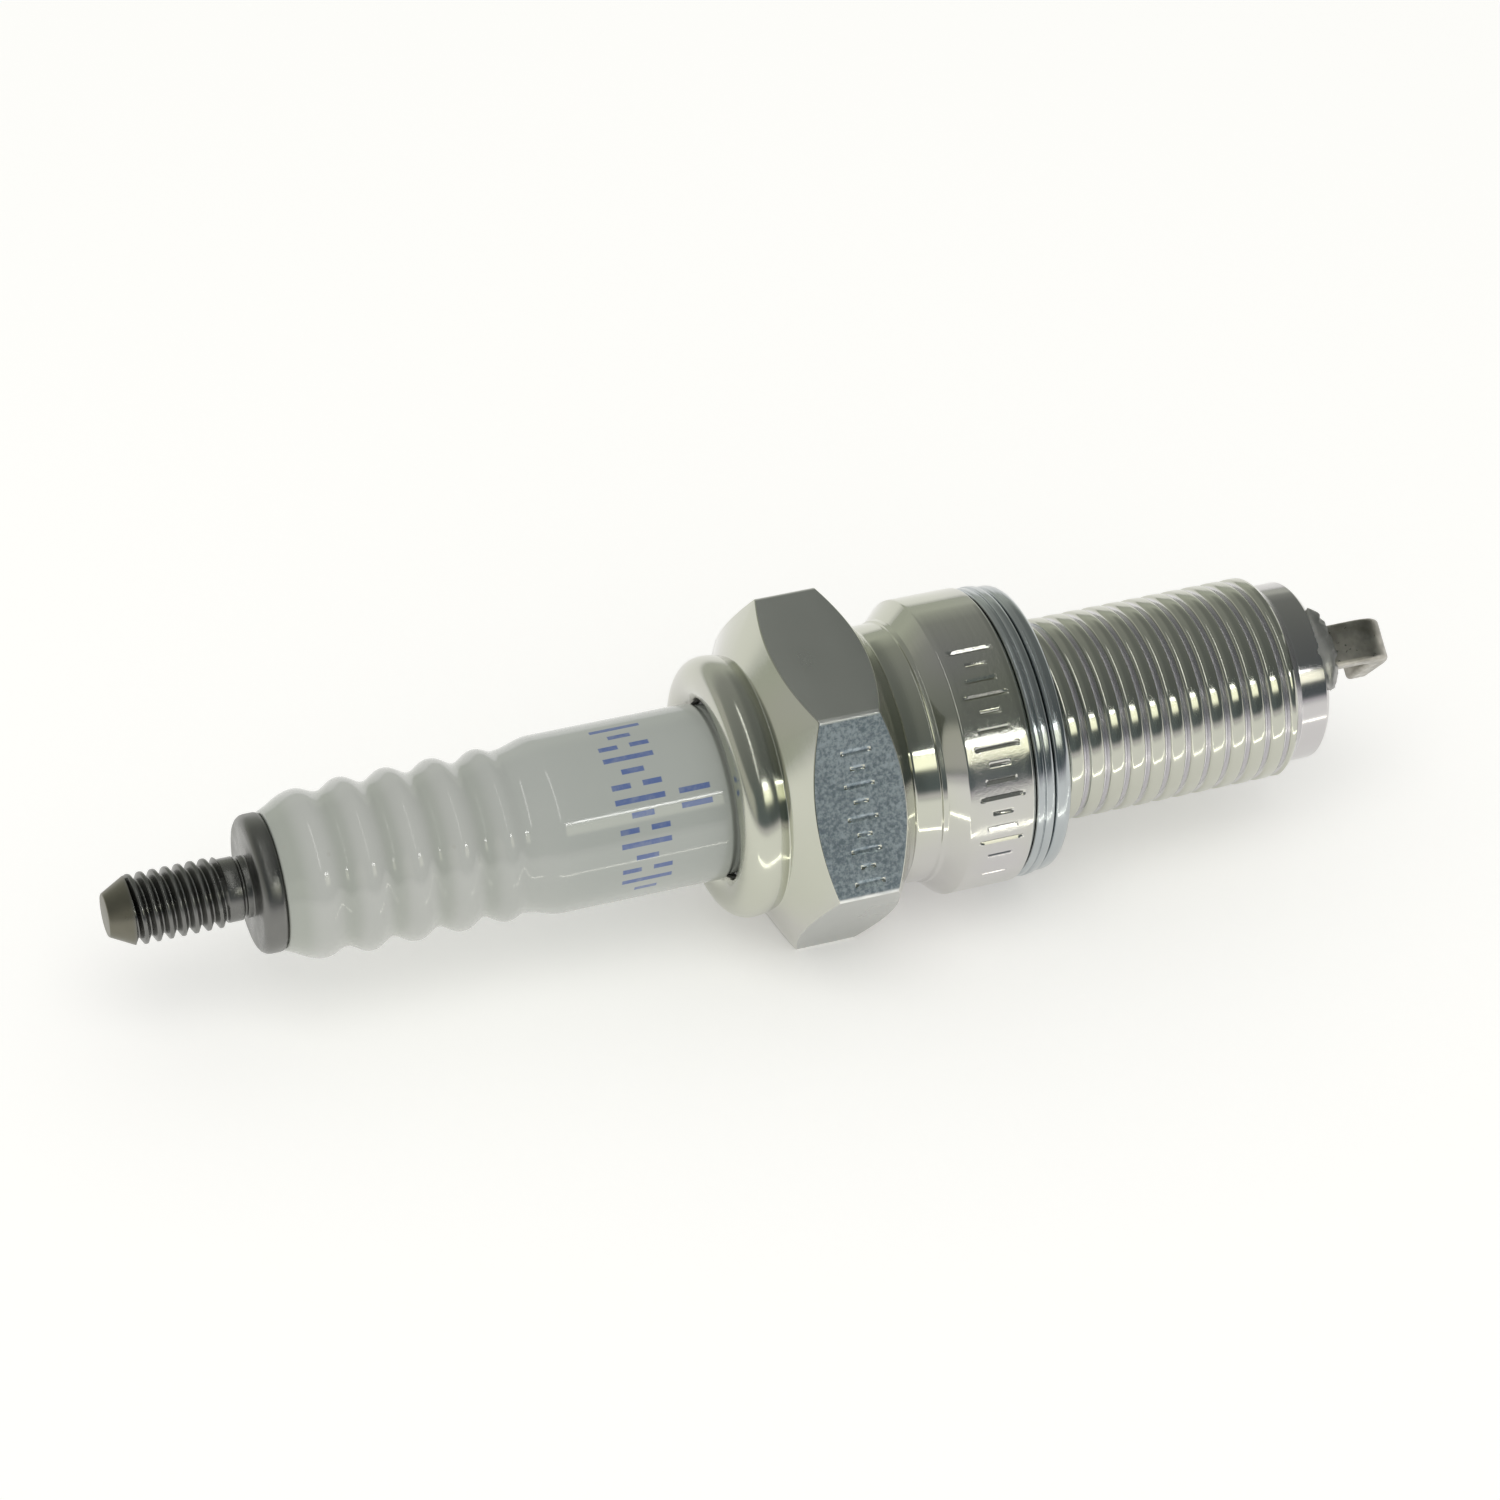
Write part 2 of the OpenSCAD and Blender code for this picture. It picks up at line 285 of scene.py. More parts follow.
def stamped_marks():
    """A row of fine ticks across one hex flat."""
    marks = []
    for i in range(9):
        off_middle = math.degrees(math.atan((-3.2 + 0.95 * i) / HEX_APOTHEM))
        middle = STAMPED_FLAT + round(off_middle / COLUMN_ANGLE) * COLUMN_ANGLE
        half = (0.8, 0.35)[i % 2]
        marks.append((-12.8 - half, -12.8 + half, middle, 0.09))
    return marks


RAMP_X = 0.09
GUARD_X = 0.05


def sink(marks, x, angle):
    """How far the marks press the surface in at a point."""
    depth = 0.0
    for x0, x1, middle, deep in marks:
        inside_x = min((x - x0 + RAMP_X) / RAMP_X, (x1 - x + RAMP_X) / RAMP_X)
        inside_a = 1 - abs(angle - middle) / MARK_HALF_ANGLE
        depth = max(depth, deep * max(0.0, min(1.0, inside_x, inside_a)))
    return depth


def mark_stations(marks):
    """The rows that the marks' edges need."""
    found = set()
    for x0, x1, _, _ in marks:
        found |= {x0 - RAMP_X - GUARD_X, x0 - RAMP_X, x0, x1, x1 + RAMP_X, x1 + RAMP_X + GUARD_X}
    return sorted({round(x, 4) for x in found})


ROLLED = rolled_marks()
STAMPED = stamped_marks()


# ---------------------------------------------------------------- shell


def hex_radius(angle):
    """Distance from the axis to the hex's side, with its six corners rounded."""
    from_flat = abs((angle + 30) % 60 - 30)
    centre_line = HEX_APOTHEM - HEX_CORNER
    tangent = math.degrees(math.atan(centre_line * math.tan(math.radians(30)) / HEX_APOTHEM))
    if from_flat <= tangent:
        return HEX_APOTHEM / math.cos(math.radians(from_flat))
    centre = centre_line / math.cos(math.radians(30))
    off = math.radians(30 - from_flat)
    return centre * math.cos(off) + math.sqrt(HEX_CORNER**2 - (centre * math.sin(off)) ** 2)


def hex_rows(angle):
    """The hex's side at one angle, between its two turned chamfers."""
    upper_slope, lower_slope = math.tan(math.radians(30)), math.tan(math.radians(35))
    r = hex_radius(angle)
    top = HEX_HIGH_X + (r - HEX_APOTHEM) * upper_slope
    bottom = HEX_LOW_X - (r - HEX_APOTHEM) * lower_slope
    cos_flat = math.cos(math.radians((angle + 30) % 60 - 30))
    rows = [Vector((x, r - sink(STAMPED, x, angle) / cos_flat)) for x in mark_stations(STAMPED)]
    corners = [
        (HEX_HIGH_X + (CREVICE_R - HEX_APOTHEM) * upper_slope, CREVICE_R, 0.06),
        (top, r, 0.11),
        (bottom, r, 0.11),
        (HEX_LOW_X + (HEX_APOTHEM - HUB_R) * lower_slope, HUB_R, 0.35),
    ]
    return corners, rows


def shell_outline(angle):
    lip = arc(LIP_X + CRIMP_ROUND, CRIMP_R - CRIMP_ROUND, CRIMP_ROUND, -57.8, 90, 24)
    back = arc(LIP_X + CRIMP_ROUND, CRIMP_R - CRIMP_BACK, CRIMP_BACK, 90, 113.4, 10)
    corners, stamped = hex_rows(angle)
    outer = back[:-2] + rounded(
        [(*back[-2], 0), *corners]
        + [(BODY_HIGH_X - 0.35, HUB_R, 0.12), (BODY_HIGH_X - 0.25, HUB_R + 0.12, 0.08)]
        + [(BODY_HIGH_X, HUB_R + 0.14, 0.1), (BODY_HIGH_X + 1, BODY_R, 0.2)]
        + [(BODY_HIGH_X + 1.3, BODY_R, 0)]
    )
    split = max(i for i, p in enumerate(outer) if p.x < -14)
    body = [Vector((x, BODY_R - sink(ROLLED, x, angle))) for x in mark_stations(ROLLED)]
    seat = rounded(
        [(-2.8, BODY_R, 0), (SHOULDER_X - 0.24, BODY_R, 0.1), (SHOULDER_X, BODY_R - 0.26, 0.08)]
        + [(SHOULDER_X, NECK_R, 0.15), (THREAD_START_X - 0.1, NECK_R, 0)]
    )
    profile = thread_profile(THREAD_PITCH, THREAD_R, 0.8, 0.03, 0.42, 0.06)
    thread = thread_rows(
        angle, THREAD_START_X, THREAD_END_X, THREAD_PITCH, profile, NECK_R, NOSE_R, 1.6, 1.0
    )
    inner = rounded(
        [(THREAD_END_X + 0.05, NOSE_R, 0), (SHELL_END_X - 0.25, NOSE_R, 0.1)]
        + [(SHELL_END_X, NOSE_R - 0.25, 0.08), (SHELL_END_X, 4.1, 0.15), (8.6, 4.1, 0)]
        + [(7.5, 3.35, 0), (5.42, 3.35, 0), (4.93, 4.2, 0), (-3.9, 4.2, 0)]
        + [(-5.4, 6.3, 0), (-17.9, 6.3, 0), (-17.9, LIP_R, 0)]
    )
    hexagon = outer[: split + 1] + stamped + outer[split + 1 :]
    return lip[:-1] + hexagon + body + seat + thread + inner


def make_shell():
    points = turned_points(shell_outline, round_angles(round(360 / COLUMN_ANGLE)))
    return finish_mesh(
        "shell_skin", grid_mesh(points), "plug", "shell", plated_steel()
    )


# ---------------------------------------------------------------- insulator


def insulator_outline(_angle):
    top_x = INSULATOR_LOW.x
    rib_x, pitch, rib_r, valley_r = top_x + 2.1, 2.61, 4.88, 4.36
    first_r = rib_r - 0.14
    outline = rounded([(top_x, 1.75, 0), (top_x, 3.9, 0.22), (top_x + 0.5, 4.13, 0)])
    outline += [
        Vector((top_x + 0.5 + 1.6 * t, 4.13 + (first_r - 4.13) * math.sin(math.pi / 2 * t)))
        for t in (k / 10 for k in range(1, 10))
    ]
    crest_r = first_r
    for i in range(4):
        crest_x = rib_x + i * pitch
        outline += wave(crest_x, crest_r, crest_x + pitch / 2, valley_r, sharper=1.15)
        outline += wave(crest_x + pitch / 2, valley_r, crest_x + pitch, rib_r, sharper=1.15)
        crest_r = rib_r
    last = rib_x + 4 * pitch
    outline += wave(last, rib_r, last + 0.95, 4.6)
    outline += wave(last + 0.95, 4.6, last + 3.2, 5.05, 14)
    outline += rounded(
        [(last + 3.2, 5.05, 0), (-19.05, 5.05, 0.3), (-18.75, 4.85, 0.3), (-12.2, 4.85, 0.1)]
        + [(-12.2, 6.2, 0.25), (-5.7, 6.2, 0.3), (-4.15, 4.05, 0.3), (4.6, 4.05, 0.15)]
        + [(5.2, 3.05, 0.15), (7.5, 2.95, 0.3), (INSULATOR_HIGH.x - 0.6, 2.35, 0.2)]
        + [(INSULATOR_HIGH.x, 1.95, 0.25), (INSULATOR_HIGH.x, 1.3, 0.08), (-2.0, 1.3, 0.1)]
        + [(-2.0, 1.75, 0)]
    )
    return outline


def make_insulator():
    points = turned_points(insulator_outline, round_angles(144))
    return finish_mesh(
        "insulator_skin", grid_mesh(points), "plug", "insulator", glazed_ceramic()
    )


# ---------------------------------------------------------------- terminal stud


def stud_outline(angle):
    tip_x, tip_r, cone = STUD_LOW.x, 1.2, 0.54
    start_x, end_x = tip_x + 1.32, -46.85
    start_r = tip_r + 1.32 * cone
    collar_x, collar_r = INSULATOR_LOW.x - 1.35, 3.9
    tip = rounded([(tip_x, 0.0, 0), (tip_x, tip_r, 0.12), (start_x - 0.01, start_r - 0.01, 0)])
    profile = thread_profile(0.7, 1.975, 0.2, 0.02, 0.4, 0.08)
    thread = thread_rows(angle, start_x, end_x, 0.7, profile, start_r, 1.76, cone, 0.9)
    rest = rounded(
        [(end_x + 0.06, 1.785, 0), (collar_x - 0.6, 1.785, 0.05), (collar_x - 0.53, 1.6, 0.03)]
        + [(collar_x - 0.42, 1.6, 0.03), (collar_x - 0.36, 1.72, 0.05), (collar_x, 1.72, 0.08)]
        + [(collar_x, collar_r, 0.55), (-44.1, collar_r, 0.3), (-44.1, 1.7, 0)]
        + [(-24.4, 1.7, 0.1), (-24.4, 1.4, 0.05), (-21.2, 1.4, 0.2), (-21.0, 1.1, 0.1)]
        + [(-21.0, 0, 0)]
    )
    return tip + thread + rest


def make_stud():
    points = turned_points(stud_outline, round_angles(96))
    return finish_mesh(
        "terminal_stud_skin",
        grid_mesh(points, close_rows=False),
        "plug",
        "terminal_stud",
        stud_steel(),
    )


# ---------------------------------------------------------------- gasket


def gasket_outline(_angle):
    low, high = GASKET_LOW.x, GASKET_HIGH.x
    groove_x, slit_x = low + 0.5, -1.0
    return rounded(
        [(low, 5.62, 0.08), (low, GASKET_R - 0.03, 0.4), (groove_x - 0.06, GASKET_R - 0.03, 0.16)]
        + [(groove_x, GASKET_R - 0.14, 0.03), (groove_x + 0.06, GASKET_R, 0.16)]
        + [(slit_x - 0.1, GASKET_R, 0.35), (slit_x - 0.06, 7.9, 0.03), (slit_x - 0.02, 7.9, 0.03)]
        + [(slit_x + 0.02, 8.3, 0.3), (high, 8.3, 0.5), (high, 6.0, 0.4), (slit_x, 6.0, 0.35)]
        + [(slit_x, 7.3, 0.05), (slit_x - 0.16, 7.3, 0.05), (slit_x - 0.16, 5.62, 0.08)],
        closed=True,
    )


def make_gasket():
    points = turned_points(gasket_outline, round_angles(144))
    return finish_mesh(
        "gasket_skin", grid_mesh(points), "gasket", "gasket", gasket_steel()
    )


# ---------------------------------------------------------------- ground electrode

BAR_W, BAR_T = 2.5, 1.35
BEND_R = 0.9


def bar_section(across, edge):
    """A rounded rectangle, wide across the bar and BAR_T thick, centred on the bar's middle."""
    half_w, half_t = BAR_W / 2 * across, BAR_T / 2 * across
    out = []
    for cx, cy, start in ((1, 1, 0), (-1, 1, 90), (-1, -1, 180), (1, -1, 270)):
        for k in range(5):
            a = math.radians(start + 22.5 * k)
            w = cx * (half_w - edge) + edge * math.cos(a)
            out.append((w, cy * (half_t - edge) + edge * math.sin(a)))
    return out


def bar_path():
    """(middle, outward) along the bar: out of the shell, round the bend, over to the axis."""
    outer_r, end_x = 4.85, GROUND_HIGH.x
    mid_r, mid_bend = outer_r - BAR_T / 2, BEND_R + BAR_T / 2
    bend_x, bend_r = end_x - BAR_T - BEND_R, outer_r - BAR_T - BEND_R
    path = [(Vector((SHELL_END_X + x, mid_r)), Vector((0, 1))) for x in (0.02, 0.5, 1.1, 1.8)]
    for k in range(13):
        a = math.radians(90 - 7.5 * k)
        out = Vector((math.cos(a), math.sin(a)))
        path.append((Vector((bend_x, bend_r)) + out * mid_bend, out))
    for r in (0.6, 0.1, -0.3, -0.45, -0.5):
        path.append((Vector((end_x - BAR_T / 2, r)), Vector((1, 0))))
    return path


def make_ground_electrode():
    rings = []
    path = bar_path()
    for i, (middle, out) in enumerate(path):
        shrink = {len(path) - 1: 0.86, len(path) - 2: 0.97}.get(i, 1.0)
        ring = []
        for w, t in bar_section(shrink, 0.26):
            crown = 1 - 0.04 * (2 * w / BAR_W) ** 2
            spot = middle + out * t * crown
            ring.append((spot.x, w, spot.y))
        rings.append(ring)
    bm = tube_mesh(rings)
    turn = Matrix.Rotation(math.radians(GROUND_TURN), 4, "X")
    bmesh.ops.transform(bm, matrix=turn, verts=bm.verts)
    return finish_mesh(
        "ground_electrode_skin",
        bm,
        "plug",
        "ground_electrode",
        electrode_nickel(),
    )


def make_ground_weld():
    """A lumpy bead round the foot of the bar, run over the shell's rim."""
    rings = []
    half_sweep, steps, around, foot_r = 29.0, 56, 30, 4.64
    for i in range(steps + 1):
        t = -1 + 2 * i / steps
        swell = math.sqrt(max(0.0, 1 - t * t))
        a = math.radians(GROUND_TURN + half_sweep * t)
        ring = []
        for k in range(around):
            b = -0.6 + (math.pi + 0.6) * k / (around - 1)
            lump = 0.85 + 0.3 * noise.noise(Vector((t * 4.5, b * 1.9, 3.1)))
            lump += 0.12 * noise.noise(Vector((t * 15, b * 5, 7.7)))
            rim_r = NOSE_R - 0.03 + 0.12 * swell * lump
            if b < 0:
                x, radius = SHELL_END_X + 0.9 * b * swell * lump, rim_r - 0.35 * b * b
            else:
                x = SHELL_END_X + 0.005 + 0.95 * swell**0.6 * max(0.0, math.sin(b)) ** 0.7 * lump
                outward = rim_r - foot_r if b < math.pi / 2 else 0.5 * (0.3 + 0.7 * swell) * lump
                radius = foot_r + outward * math.cos(b)
            ring.append((x, -radius * math.sin(a), radius * math.cos(a)))
        rings.append(ring)
    bm = tube_mesh(rings)
    return finish_mesh(
        "ground_weld_skin", bm, "plug", "ground_weld", weld_nickel(), sharp=60
    )


# ---------------------------------------------------------------- materials


class Paint:
    """One material's node tree, with short calls for the nodes that the finishes share."""

    def __init__(self, name, **sockets):
        self.material = bpy.data.materials.new(name)
        self.material.use_nodes = True
        self.tree = self.material.node_tree
        self.shader = self.tree.nodes["Principled BSDF"]
        for key, value in sockets.items():
            self.shader.inputs[key.replace("_", " ")].default_value = value
        self.place = self.tree.nodes.new("ShaderNodeTexCoord").outputs["Object"]
        self.normal = self.tree.nodes.new("ShaderNodeTexCoord").outputs["Normal"]

    def node(self, kind, inputs=(), **settings):
        made = self.tree.nodes.new("ShaderNode" + kind)
        for key, value in settings.items():
            setattr(made, key, value)
        for key, value in dict(inputs).items():
            if isinstance(value, bpy.types.NodeSocket):
                self.tree.links.new(value, made.inputs[key])
            else:
                made.inputs[key].default_value = value
        return made

    def scaled(self, scale):
        """Object coordinates, stretched."""
        return self.node("Mapping", {"Vector": self.place, "Scale": scale}).outputs["Vector"]

    def noise(self, scale, detail=3.0, roughness=0.55, stretch=(1, 1, 1)):
        inputs = {
            "Vector": self.scaled(stretch),
            "Scale": scale,
            "Detail": detail,
            "Roughness": roughness,
        }
        return self.node("TexNoise", inputs).outputs["Fac"]

    def speckle(self, scale):
        inputs = {"Vector": self.place, "Scale": scale}
        return self.node("TexVoronoi", inputs, feature="F1").outputs["Distance"]

    def math(self, operation, a, b=0.0, c=0.0):
        made = self.node("Math", {0: a, 1: b, 2: c}, operation=operation)
        return made.outputs[0]

    def remap(self, value, low, high, to_low, to_high, smooth=True):
        kind = "SMOOTHSTEP" if smooth else "LINEAR"
        inputs = {"Value": value, "From Min": low, "From Max": high}
        inputs |= {"To Min": to_low, "To Max": to_high}
        return self.node("MapRange", inputs, interpolation_type=kind).outputs["Result"]

    def band(self, value, low, high, soft):
        """1 between low and high, fading over soft at each side."""
        rise = self.remap(value, low - soft / 2, low + soft / 2, 0.0, 1.0)
        fall = self.remap(value, high - soft / 2, high + soft / 2, 1.0, 0.0)
        return self.math("MULTIPLY", rise, fall)

    def mix(self, factor, first, second):
        made = self.node("Mix", data_type="RGBA")
        for key, value in ((0, factor), (6, first), (7, second)):
            if isinstance(value, bpy.types.NodeSocket):
                self.tree.links.new(value, made.inputs[key])
            else:
                made.inputs[key].default_value = value
        return made.outputs[2]

    def axes(self, vector):
        parts = self.node("SeparateXYZ", {"Vector": vector}).outputs
        return parts["X"], parts["Y"], parts["Z"]

    def radius(self, y, z):
        """Distance from the axis."""
        squares = [self.math("MULTIPLY", value, value) for value in (y, z)]
        return self.math("SQRT", self.math("ADD", *squares))

    def turn(self, y, z):
        """Degrees round the axis, from +Z towards -Y."""
        return self.math("DEGREES", self.math("ARCTAN2", self.math("MULTIPLY", y, -1.0), z))

    def ramp(self, value, stops):
        """A colour that follows value through (position, colour) stops."""
        low, high = stops[0][0], stops[-1][0]
        made = self.node("ValToRGB", {"Fac": self.remap(value, low, high, 0.0, 1.0, smooth=False)})
        elements = made.color_ramp.elements
        while len(elements) < len(stops):
            elements.new(0.5)
        for element, (position, color) in zip(elements, stops):
            element.position = (position - low) / (high - low)
            element.color = color
        return made.outputs["Color"]

    def link(self, socket, value):
        self.tree.links.new(value, self.shader.inputs[socket])

    def bump(self, height, strength, distance, under=None):
        inputs = {"Height": height, "Strength": strength, "Distance": distance * MM}
        if under is not None:
            inputs["Normal"] = under
        return self.node("Bump", inputs).outputs["Normal"]


def rgb(r, g, b):
    return (r, g, b, 1.0)


def plated_steel():
    """Bright plating: turned lines round the axis, cold-drawn hex flats, one flat mottled. The
    thread's flanks carry a painted reflection, and the hex corners a bright line that is partly
    wear and partly a painted highlight.
    """
    p = Paint("plated_steel", Metallic=1.0)
    x, y, z = p.axes(p.place)
    nx, _, _ = p.axes(p.normal)
    turn = p.turn(y, z)
    lines = p.noise(900, 2.0, 0.6, stretch=(3.2, 0.05, 0.05))
    cloud = p.noise(160, 4.0, 0.6)
    grain = p.noise(4200, 3.0, 0.7)

    on_hex = p.band(x, (HEX_HIGH_X + 0.05) * MM, (HEX_LOW_X - 0.05) * MM, 0.1 * MM)
    level = p.math("LESS_THAN", p.math("ABSOLUTE", nx), 0.15)
    flats = p.math("MULTIPLY", on_hex, level)
    mottled = p.math("MULTIPLY", flats, p.band(turn, STAMPED_FLAT - 30, STAMPED_FLAT + 30, 0.5))
    rolled = p.math("MULTIPLY", p.band(x, -6.0 * MM, -2.7 * MM, 0.5 * MM), p.band(turn, 6, 86, 9))

    tint = p.noise(75, 2.0, 0.5)
    tone = p.remap(tint, 0.35, 0.65, 0.0, 1.0)
    bright = p.mix(tone, rgb(0.56, 0.57, 0.49), rgb(0.575, 0.56, 0.565))
    drawn = p.mix(cloud, rgb(0.45, 0.46, 0.44), rgb(0.52, 0.53, 0.51))
    spots = p.remap(p.math("ADD", grain, p.math("MULTIPLY", cloud, 0.35)), 0.5, 0.85, 0.0, 1.0)
    speckled = p.mix(spots, rgb(0.20, 0.245, 0.275), rgb(0.44, 0.50, 0.54))
    radius = p.radius(y, z)
    threaded = p.band(x, THREAD_START_X * MM, THREAD_END_X * MM, 0.2 * MM)
    crest = p.remap(radius, (THREAD_R - 0.22) * MM, (THREAD_R - 0.08) * MM, 0.0, 1.0)
    # The thread's flanks and roots are painted a lighter, lavender tone than the crests: a painted
    # reflection.
    thread = p.mix(crest, rgb(0.72, 0.71, 0.73), rgb(0.545, 0.55, 0.485))
    base = p.mix(flats, p.mix(threaded, bright, thread), drawn)
    # A bright line down each hex corner, made uneven by the cloud: partly edge wear, partly a
    # painted highlight.
    edge = p.math("FRACT", p.math("DIVIDE", turn, 60.0))
    worn = p.math("MULTIPLY", flats, p.band(edge, 0.487, 0.513, 0.012))
    worn = p.math("MULTIPLY", worn, p.remap(cloud, 0.35, 0.55, 0.2, 1.0))
    p.link("Base Color", p.mix(worn, p.mix(mottled, base, speckled), rgb(0.86, 0.86, 0.84)))

    crimp = p.band(x, (LIP_X - 1) * MM, (HEX_HIGH_X - 1.3) * MM, 0.3 * MM)
    polished = p.math("ADD", p.remap(cloud, 0.3, 0.75, 0.07, 0.15), p.math("MULTIPLY", crimp, 0.07))
    rough = p.math("ADD", polished, p.math("MULTIPLY", flats, 0.2))
    rough = p.math("ADD", rough, p.math("MULTIPLY", rolled, 0.07))
    groove = p.math("MULTIPLY", threaded, p.math("SUBTRACT", 1.0, crest))
    rough = p.math("ADD", rough, p.math("MULTIPLY", groove, 0.12))
    p.link("Roughness", p.math("ADD", rough, p.math("MULTIPLY", mottled, 0.15)))

    turned = p.bump(lines, 0.10, 0.02)
    uneven = p.math("ADD", p.math("MULTIPLY", mottled, 0.9), p.math("MULTIPLY", rolled, 0.6))
    height = p.math("MULTIPLY", grain, p.math("ADD", 0.04, uneven))
    p.link("Normal", p.bump(height, 0.25, 0.05, under=turned))
    return p.material


def printed_marks(p, x, turn):
    """Blue ticks, long, short and broken by turns, in two rows on the barrel: no lettering."""
    place = p.math("DIVIDE", p.math("ADD", turn, 22.0), 9.5)
    kind = p.math("MODULO", p.math("FLOOR", place), 3.0)
    tick = p.band(p.math("FRACT", place), 0.31, 0.69, 0.04)
    full = p.band(x, -25.5 * MM, -22.6 * MM, 0.08 * MM)
    short = p.band(x, -24.7 * MM, -23.4 * MM, 0.08 * MM)
    gap = p.math("SUBTRACT", 1.0, p.band(x, -24.4 * MM, -23.7 * MM, 0.08 * MM))
    is_short = p.math("COMPARE", kind, 1.0, 0.1)
    is_broken = p.math("COMPARE", kind, 2.0, 0.1)
    long_ones = p.math("MULTIPLY", full, p.math("SUBTRACT", 1.0, is_short))
    length = p.math("ADD", long_ones, p.math("MULTIPLY", short, is_short))
    length = p.math("MULTIPLY", length, p.math("MAXIMUM", gap, p.math("SUBTRACT", 1.0, is_broken)))
    first = p.math("MULTIPLY", p.math("MULTIPLY", length, tick), p.band(turn, -22.0, 111.2, 0.5))
    second = p.math("MULTIPLY", p.band(x, -21.8 * MM, -20.0 * MM, 0.08 * MM), tick)
    second = p.math("MULTIPLY", second, p.band(turn, 35.0, 54.0, 0.5))
    return p.math("MAXIMUM", first, second)


def glazed_ceramic():
    """Grey-white alumina under a clear glaze, with faint clouding, fine specks and painted shade in
    the rib valleys.
    """
    p = Paint("glazed_ceramic", IOR=1.52)
    p.shader.inputs["Coat Weight"].default_value = 0.35
    p.shader.inputs["Coat Roughness"].default_value = 0.03
    x, y, z = p.axes(p.place)
    cloud = p.noise(140, 4.0, 0.6)
    fine = p.noise(1500, 3.0, 0.6)
    crest = p.mix(cloud, rgb(0.48, 0.49, 0.46), rgb(0.53, 0.54, 0.51))
    radius = p.radius(y, z)
    # The rib tone darkens and turns greener towards each valley: painted shade.
    ribs_with_painted_valley_shade = p.mix(p.remap(radius, 4.25 * MM, 4.75 * MM, 0.0, 1.0), rgb(0.415, 0.435, 0.39), crest)
    barrel = p.mix(cloud, rgb(0.40, 0.425, 0.40), rgb(0.445, 0.465, 0.43))
    body = p.mix(p.remap(x, -36 * MM, -25 * MM, 0.0, 1.0), ribs_with_painted_valley_shade, barrel)
    specks = p.remap(p.speckle(420), 0.03, 0.07, 0.22, 0.0)
    body = p.mix(specks, body, rgb(0.40, 0.38, 0.33))
    worn = p.remap(fine, 0.25, 0.6, 0.72, 0.97)
    ink = p.math("MULTIPLY", printed_marks(p, x, p.turn(y, z)), worn)
    p.link("Base Color", p.mix(ink, body, rgb(0.10, 0.15, 0.34)))
    unglazed = p.remap(x, 0.0, 0.5 * MM, 0.0, 1.0)
    rough = p.remap(cloud, 0.3, 0.7, 0.07, 0.13)
    p.link("Roughness", p.math("ADD", rough, p.math("MULTIPLY", unglazed, 0.4)))
    waves = p.noise(260, 2.0, 0.5)
    p.link("Normal", p.bump(waves, 0.12, 0.06))
    return p.material


def stud_steel():
    """Dark plated steel, worn brighter and greener on the tip's chamfer."""
    p = Paint("stud_steel", Metallic=1.0)
    x, _, _ = p.axes(p.place)
    cloud = p.noise(420, 4.0, 0.6)
    grain = p.noise(3200, 3.0, 0.6)
    lines = p.noise(1300, 2.0, 0.6, stretch=(2.4, 0.08, 0.08))
    dark = p.mix(cloud, rgb(0.15, 0.15, 0.145), rgb(0.25, 0.25, 0.24))
    bare = p.mix(cloud, rgb(0.13, 0.127, 0.10), rgb(0.22, 0.21, 0.17))
    tip = p.remap(x, (STUD_LOW.x + 1.1) * MM, (STUD_LOW.x + 1.5) * MM, 1.0, 0.0)
    p.link("Base Color", p.mix(tip, dark, bare))
    p.link("Roughness", p.remap(cloud, 0.3, 0.7, 0.24, 0.4))
    turned = p.bump(lines, 0.12, 0.03)
    p.link("Normal", p.bump(grain, 0.10, 0.03, under=turned))
    return p.material


def gasket_steel():
    """Bluish zinc plating with drawn lines round the folds."""
    p = Paint("gasket_steel", Metallic=1.0)
    cloud = p.noise(260, 4.0, 0.6)
    lines = p.noise(1500, 3.0, 0.65, stretch=(3.0, 0.05, 0.05))
    p.link("Base Color", p.mix(cloud, rgb(0.40, 0.43, 0.445), rgb(0.53, 0.56, 0.575)))
    p.link("Roughness", p.remap(lines, 0.3, 0.7, 0.08, 0.22))
    p.link("Normal", p.bump(lines, 0.3, 0.05))
    return p.material


def electrode_nickel():
    """Dull nickel alloy with drawing lines along the bar and a slight heat tint."""
    p = Paint("electrode_nickel", Metallic=1.0)
    cloud = p.noise(330, 4.0, 0.65)
    grain = p.noise(2800, 4.0, 0.65)
    drawn = p.noise(1500, 2.0, 0.6, stretch=(0.15, 1.6, 1.6))
    tint = p.remap(cloud, 0.3, 0.7, 0.0, 1.0)
    p.link("Base Color", p.mix(tint, rgb(0.22, 0.21, 0.18), rgb(0.56, 0.535, 0.48)))
    p.link("Roughness", p.remap(grain, 0.3, 0.7, 0.26, 0.46))
    scratched = p.bump(drawn, 0.18, 0.03)
    p.link("Normal", p.bump(grain, 0.12, 0.02, under=scratched))
    return p.material


def weld_nickel():
    """Oxidised weld: dark and uneven, with small bright beads."""
    p = Paint("weld_nickel", Metallic=1.0)
    cloud = p.noise(900, 5.0, 0.65)
    beads = p.speckle(2400)
    p.link("Base Color", p.mix(cloud, rgb(0.30, 0.295, 0.28), rgb(0.58, 0.58, 0.57)))
    p.link("Roughness", p.remap(cloud, 0.3, 0.7, 0.3, 0.6))
    lumps = p.bump(cloud, 0.6, 0.1)
    p.link("Normal", p.bump(beads, 0.3, 0.04, under=lumps))
    return p.material


def plain_inner(name, dark, light, metallic, rough, scale, bump):
    """A hidden piece's finish: two tones, uneven roughness and grain at its own scale."""
    p = Paint(name, Metallic=metallic)
    cloud = p.noise(scale, 4.0, 0.6)
    grain = p.noise(scale * 6, 3.0, 0.6)
    p.link("Base Color", p.mix(cloud, dark, light))
    p.link("Roughness", p.remap(grain, 0.3, 0.7, rough - 0.08, rough + 0.08))
    p.link("Normal", p.bump(grain, bump, 0.03))
    return p.material


